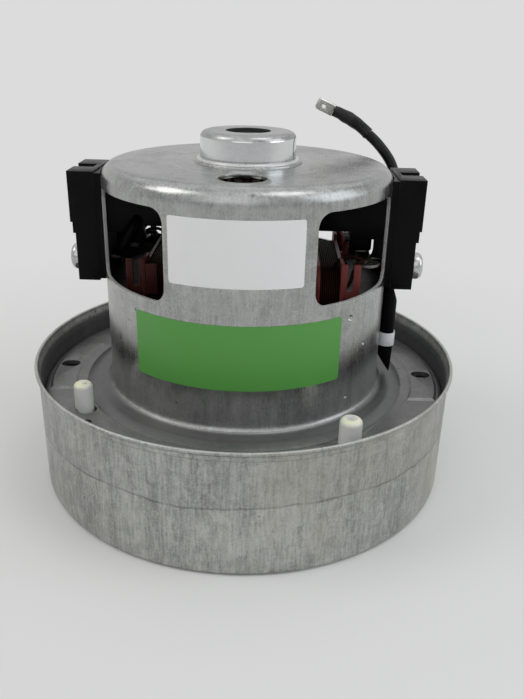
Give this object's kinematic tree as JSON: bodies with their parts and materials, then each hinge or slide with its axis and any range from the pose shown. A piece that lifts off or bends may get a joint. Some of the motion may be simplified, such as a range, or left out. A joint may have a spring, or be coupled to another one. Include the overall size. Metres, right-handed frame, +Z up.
{
  "type": "vacuum cleaner motor",
  "caption": "Upright vacuum cleaner motor: sheet metal fan case with a centre air inlet, windowed motor can, side brush holders, bearing boss and a short supply lead.",
  "frame": {"origin": "under the middle of the fan case, on the face that the unit stands on", "axes": "+Z up the shaft to the bearing boss, brushes along X, -Y to the front with +X on the right"},
  "size_m": [0.13, 0.13, 0.1117],
  "materials": {
    "galvanised_case": "drawn galvanised sheet, fine upright streaks",
    "galvanised_can": "drawn galvanised sheet, mottled, bright at its edges",
    "bracket_steel": "dull pressed steel sheet",
    "white_nylon": "off-white moulded nylon",
    "damping_rubber": "black rubber",
    "bearing_steel": "ground bearing steel",
    "lamination_steel": "stacked steel laminations",
    "brown_phenolic": "red-brown moulded insulation",
    "enamelled_copper": "enamelled copper wire",
    "commutator_copper": "turned copper bars",
    "brass": "pressed brass",
    "black_moulding": "satin black moulded plastic",
    "carbon": "pressed carbon",
    "spring_steel": "drawn spring wire",
    "zinc_screw": "bright zinc plate",
    "shaft_steel": "turned and ground steel",
    "impeller_aluminium": "pressed aluminium sheet",
    "protector_sleeve": "black insulating sleeve",
    "band_tape": "white band",
    "lead_insulation": "black lead insulation",
    "shrink_sleeve": "black shrink sleeve",
    "tinned_brass": "tinned tab"
  },
  "bodies": {
    "housing": {"fan_case": "galvanised_case", "motor_can": "galvanised_can", "end_bracket": "bracket_steel", "diffuser": "white_nylon", "bearing_sleeve": "damping_rubber", "upper_bearing_outer": "bearing_steel", "lower_bearing_outer": "bearing_steel", "field_core": "lamination_steel", "right_bobbin": "brown_phenolic", "left_bobbin": "brown_phenolic", "right_coil": "enamelled_copper", "left_coil": "enamelled_copper", "coil_links": "brass", "right_brush_holder": "black_moulding", "left_brush_holder": "black_moulding", "right_brush_tube": "brass", "left_brush_tube": "brass", "right_brush_terminal": "brass", "left_brush_terminal": "brass", "right_brush_spring": "spring_steel", "left_brush_spring": "spring_steel", "brush_holder_screws": "zinc_screw", "thermal_protector": "protector_sleeve", "protector_band": "band_tape", "supply_lead": "lead_insulation", "lead_sleeve": "shrink_sleeve", "lead_tab": "tinned_brass"},
    "rotor": {"shaft": "shaft_steel", "armature_core": "lamination_steel", "slot_insulators": "brown_phenolic", "armature_winding": "enamelled_copper", "commutator": "commutator_copper", "commutator_core": "brown_phenolic", "shaft_collar": "shaft_steel", "spacer_bush": "shaft_steel", "upper_bearing_inner": "bearing_steel", "lower_bearing_inner": "bearing_steel", "impeller_back_plate": "impeller_aluminium", "impeller_blades": "impeller_aluminium", "impeller_shroud": "impeller_aluminium", "impeller_washer": "shaft_steel", "impeller_nut": "shaft_steel"},
    "right_brush": {"right_carbon_brush": "carbon"},
    "left_brush": {"left_carbon_brush": "carbon"},
    "upper_balls": {"upper_ball_set": "bearing_steel"},
    "lower_balls": {"lower_ball_set": "bearing_steel"}
  },
  "joints": [
    {"name": "rotor_spin", "type": "hinge", "parent": "housing", "child": "rotor", "pos_m": [0, 0, 0.05], "axis": [0, 0, 1], "continuous": true},
    {"name": "upper_ball_orbit", "type": "hinge", "parent": "housing", "child": "upper_balls", "pos_m": [0, 0, 0.1003], "axis": [0, 0, 1], "continuous": true},
    {"name": "lower_ball_orbit", "type": "hinge", "parent": "housing", "child": "lower_balls", "pos_m": [0, 0, 0.0268], "axis": [0, 0, 1], "continuous": true},
    {"name": "right_brush_slide", "type": "slide", "parent": "housing", "child": "right_brush", "axis": [1, 0, 0], "range_m": [0, 0.004], "stiffness_N_per_m": 300, "springref_m": -0.01, "deforming": ["right_brush_spring"]},
    {"name": "left_brush_slide", "type": "slide", "parent": "housing", "child": "left_brush", "axis": [-1, 0, 0], "range_m": [0, 0.004], "stiffness_N_per_m": 300, "springref_m": -0.01, "deforming": ["left_brush_spring"]}
  ],
  "couplings": [
    {"joint": "upper_ball_orbit", "follows": "rotor_spin", "ratio": 0.368},
    {"joint": "lower_ball_orbit", "follows": "rotor_spin", "ratio": 0.368}
  ]
}
